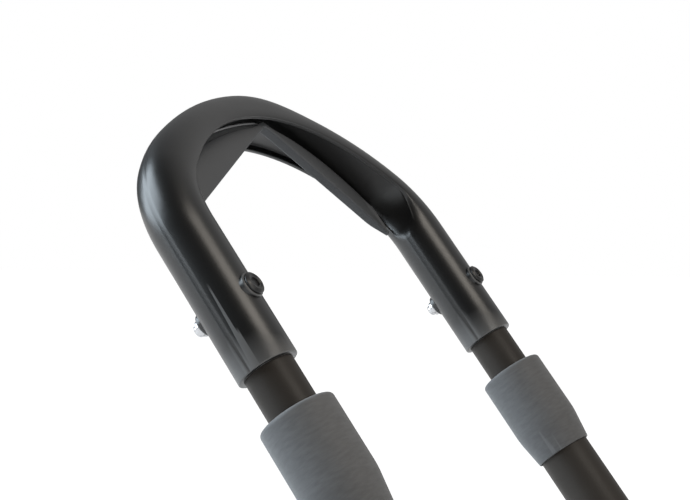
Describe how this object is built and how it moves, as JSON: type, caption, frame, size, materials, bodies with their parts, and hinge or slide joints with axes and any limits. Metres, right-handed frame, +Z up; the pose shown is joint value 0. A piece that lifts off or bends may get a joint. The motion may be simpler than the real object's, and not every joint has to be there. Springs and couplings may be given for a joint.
{
  "type": "roof bike rack",
  "caption": "Upright roof rack for a bicycle: tray on crossbar clamps, folding wheel cradle, and a telescoping arm whose U-shaped hook holds the front wheel.",
  "frame": {"origin": "on the rack's middle plane, half way along the tray, at the height of the clamps' undersides", "axes": "+X towards the rear wheel, so the front of the bicycle points to -X; +Y to the left when looking along +X; +Z up"},
  "size_m": [1.4006, 0.265, 0.7335],
  "materials": {
    "hook_plastic": "satin black glass-filled nylon",
    "black_plastic": "fine-grained black moulding",
    "grey_plastic": "smooth mid-grey moulding",
    "grey_soft_touch": "matt soft-touch rubber",
    "rubber": "matt black rubber",
    "strap_rubber": "flexible black ladder strap",
    "aluminium": "satin anodised extrusion",
    "black_aluminium": "satin black coating",
    "black_steel": "black coated steel",
    "steel": "zinc plated",
    "bush_polymer": "natural acetal"
  },
  "bodies": {
    "base": {"wheel_tray": "aluminium", "tray_front_cap": "black_plastic", "tray_rear_cap": "black_plastic", "base_housing": "black_aluminium", "base_bolt": "steel", "base_slot_nut": "steel", "side_cover_left": "black_plastic", "side_cover_right": "black_plastic", "axle_bush_left": "bush_polymer", "axle_bush_right": "bush_polymer", "front_bar_pad_left": "rubber", "front_bar_pad_right": "rubber", "lever_pin": "steel", "lever_spring": "steel"},
    "jaw_front_left": {"front_jaw_left": "black_steel", "front_jaw_nut_left": "steel"},
    "jaw_front_right": {"front_jaw_right": "black_steel", "front_jaw_nut_right": "steel"},
    "knob_front_left": {"front_knob_left": "black_plastic", "front_screw_left": "steel"},
    "knob_front_right": {"front_knob_right": "black_plastic", "front_screw_right": "steel"},
    "lock": {"lock_cylinder": "steel"},
    "lever": {"release_lever": "grey_plastic"},
    "cradle": {"wheel_cradle": "black_aluminium", "cradle_pad": "grey_soft_touch"},
    "arm": {"arm_axle": "steel", "axle_cap_left": "steel", "axle_cap_right": "steel", "arm_ratchet": "steel", "arm_yoke_left": "black_aluminium", "arm_yoke_right": "black_aluminium", "outer_tube_left": "black_aluminium", "outer_tube_right": "black_aluminium", "collet_left": "bush_polymer", "collet_right": "bush_polymer"},
    "twist_collar_left": {"collar_left": "grey_soft_touch"},
    "twist_collar_right": {"collar_right": "grey_soft_touch"},
    "hook_head": {"inner_tube_left": "black_aluminium", "inner_tube_right": "black_aluminium", "hook": "hook_plastic", "tyre_saddle": "grey_plastic", "hook_bolt_left": "black_steel", "hook_bolt_right": "black_steel", "hook_nut_left": "steel", "hook_nut_right": "steel"},
    "rear_clamp": {"rear_slider": "black_aluminium", "rear_slider_bolt": "steel", "rear_slot_nut": "steel", "rear_bar_pad": "rubber"},
    "jaw_rear": {"rear_jaw": "black_steel", "rear_jaw_nut": "steel"},
    "knob_rear": {"rear_knob": "black_plastic", "rear_screw": "steel"},
    "chock": {"wheel_chock": "black_plastic", "wheel_strap": "strap_rubber", "buckle_frame": "grey_plastic", "buckle_pin": "steel"},
    "buckle": {"buckle_lever": "grey_soft_touch"}
  },
  "joints": [
    {"name": "arm_swing", "type": "hinge", "parent": "base", "child": "arm", "pos_m": [-0.197, 0, 0.1206], "axis": [0, 1, 0], "range_deg": [-53, 126]},
    {"name": "telescope", "type": "slide", "parent": "arm", "child": "hook_head", "axis": [-0.5997, 0, 0.8002], "range_m": [-0.021, 0.15]},
    {"name": "collar_left_twist", "type": "hinge", "parent": "arm", "child": "twist_collar_left", "pos_m": [-0.52685, 0.1147, 0.56071], "axis": [-0.5997, 0, 0.8002], "range_deg": [0, 120]},
    {"name": "collar_right_twist", "type": "hinge", "parent": "arm", "child": "twist_collar_right", "pos_m": [-0.52685, -0.1147, 0.56071], "axis": [-0.5997, 0, 0.8002], "range_deg": [0, 120]},
    {"name": "cradle_fold", "type": "hinge", "parent": "base", "child": "cradle", "pos_m": [-0.197, 0, 0.1206], "axis": [0, 1, 0], "range_deg": [-8, 76]},
    {"name": "release_lever_lift", "type": "hinge", "parent": "base", "child": "lever", "pos_m": [-0.166, 0.0805, 0.083], "axis": [0, -1, 0], "range_deg": [0, 20], "stiffness_Nm_per_rad": 0.2, "springref_deg": -11.46},
    {"name": "lock_turn", "type": "hinge", "parent": "base", "child": "lock", "pos_m": [-0.235, 0.0965, 0.0866], "axis": [0, 1, 0], "range_deg": [0, 90]},
    {"name": "knob_front_left_turn", "type": "hinge", "parent": "base", "child": "knob_front_left", "pos_m": [-0.147, 0.076, 0.053], "axis": [-1, 0, 0], "range_deg": [0, 2161]},
    {"name": "knob_front_right_turn", "type": "hinge", "parent": "base", "child": "knob_front_right", "pos_m": [-0.147, -0.076, 0.053], "axis": [-1, 0, 0], "range_deg": [0, 2161]},
    {"name": "jaw_front_left_slide", "type": "slide", "parent": "base", "child": "jaw_front_left", "axis": [1, 0, 0], "range_m": [0, 0.024]},
    {"name": "jaw_front_right_slide", "type": "slide", "parent": "base", "child": "jaw_front_right", "axis": [1, 0, 0], "range_m": [0, 0.024]},
    {"name": "rear_clamp_slide", "type": "slide", "parent": "base", "child": "rear_clamp", "axis": [1, 0, 0], "range_m": [-0.3, 0.15]},
    {"name": "knob_rear_turn", "type": "hinge", "parent": "rear_clamp", "child": "knob_rear", "pos_m": [0.5265, -0.055, 0.053], "axis": [-1, 0, 0], "range_deg": [0, 2161]},
    {"name": "jaw_rear_slide", "type": "slide", "parent": "rear_clamp", "child": "jaw_rear", "axis": [1, 0, 0], "range_m": [0, 0.024]},
    {"name": "chock_slide", "type": "slide", "parent": "base", "child": "chock", "axis": [1, 0, 0], "range_m": [-0.2, 0.03]},
    {"name": "buckle_lever_swing", "type": "hinge", "parent": "chock", "child": "buckle", "pos_m": [0.6, -0.0678, 0.1073], "axis": [1, 0, 0], "range_deg": [0, 80]}
  ],
  "couplings": [
    {"joint": "knob_front_left_turn", "follows": "jaw_front_left_slide", "rad_per_m": 1570.8},
    {"joint": "knob_front_right_turn", "follows": "jaw_front_right_slide", "rad_per_m": 1570.8},
    {"joint": "knob_rear_turn", "follows": "jaw_rear_slide", "rad_per_m": 1570.8}
  ]
}
